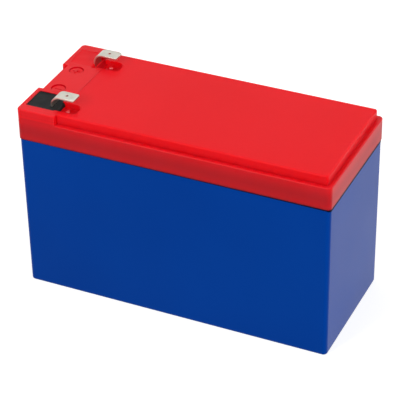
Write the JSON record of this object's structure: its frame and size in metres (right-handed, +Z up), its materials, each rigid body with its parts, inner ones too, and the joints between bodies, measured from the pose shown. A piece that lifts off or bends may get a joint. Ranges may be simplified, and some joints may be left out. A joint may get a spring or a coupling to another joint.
{
  "type": "uninterruptible power supply battery",
  "caption": "Sealed lead-acid battery block with a blue container, a red lid with a raised cover plate, and bent blade terminals in resin-filled wells at one end.",
  "frame": {"origin": "middle of the flat underside", "axes": "+X along the 151 mm length, away from the terminal end; +Y across the width, towards the positive terminal; +Z up"},
  "size_m": [0.151, 0.065, 0.099],
  "materials": {
    "container_blue": "moulded ABS, semi-gloss",
    "lid_red": "moulded ABS, semi-gloss",
    "cover_red": "moulded ABS, fine texture",
    "terminal_tin": "tin-plated copper alloy",
    "resin_black": "epoxy, cast in place",
    "resin_red": "epoxy, cast in place",
    "valve_rubber": "moulded rubber",
    "lead": "cast lead, dull",
    "positive_plate": "lead with dark brown oxide paste",
    "glass_mat": "absorbent glass mat"
  },
  "bodies": {
    "root": {"cell_link_1": "lead", "cell_link_2": "lead", "cell_link_3": "lead", "cell_link_4": "lead", "cell_link_5": "lead", "container": "container_blue", "lid": "lid_red", "negative_group_1": "lead", "negative_group_2": "lead", "negative_group_3": "lead", "negative_group_4": "lead", "negative_group_5": "lead", "negative_group_6": "lead", "negative_resin": "resin_black", "negative_seal_ring": "valve_rubber", "negative_tab": "terminal_tin", "positive_group_1": "positive_plate", "positive_group_2": "positive_plate", "positive_group_3": "positive_plate", "positive_group_4": "positive_plate", "positive_group_5": "positive_plate", "positive_group_6": "positive_plate", "positive_resin": "resin_red", "positive_seal_ring": "valve_rubber", "positive_tab": "terminal_tin", "separators_1": "glass_mat", "separators_2": "glass_mat", "separators_3": "glass_mat", "separators_4": "glass_mat", "separators_5": "glass_mat", "separators_6": "glass_mat", "vent_cap_1": "valve_rubber", "vent_cap_2": "valve_rubber", "vent_cap_3": "valve_rubber", "vent_cap_4": "valve_rubber", "vent_cap_5": "valve_rubber", "vent_cap_6": "valve_rubber", "vent_cover": "cover_red"}
  },
  "joints": []
}
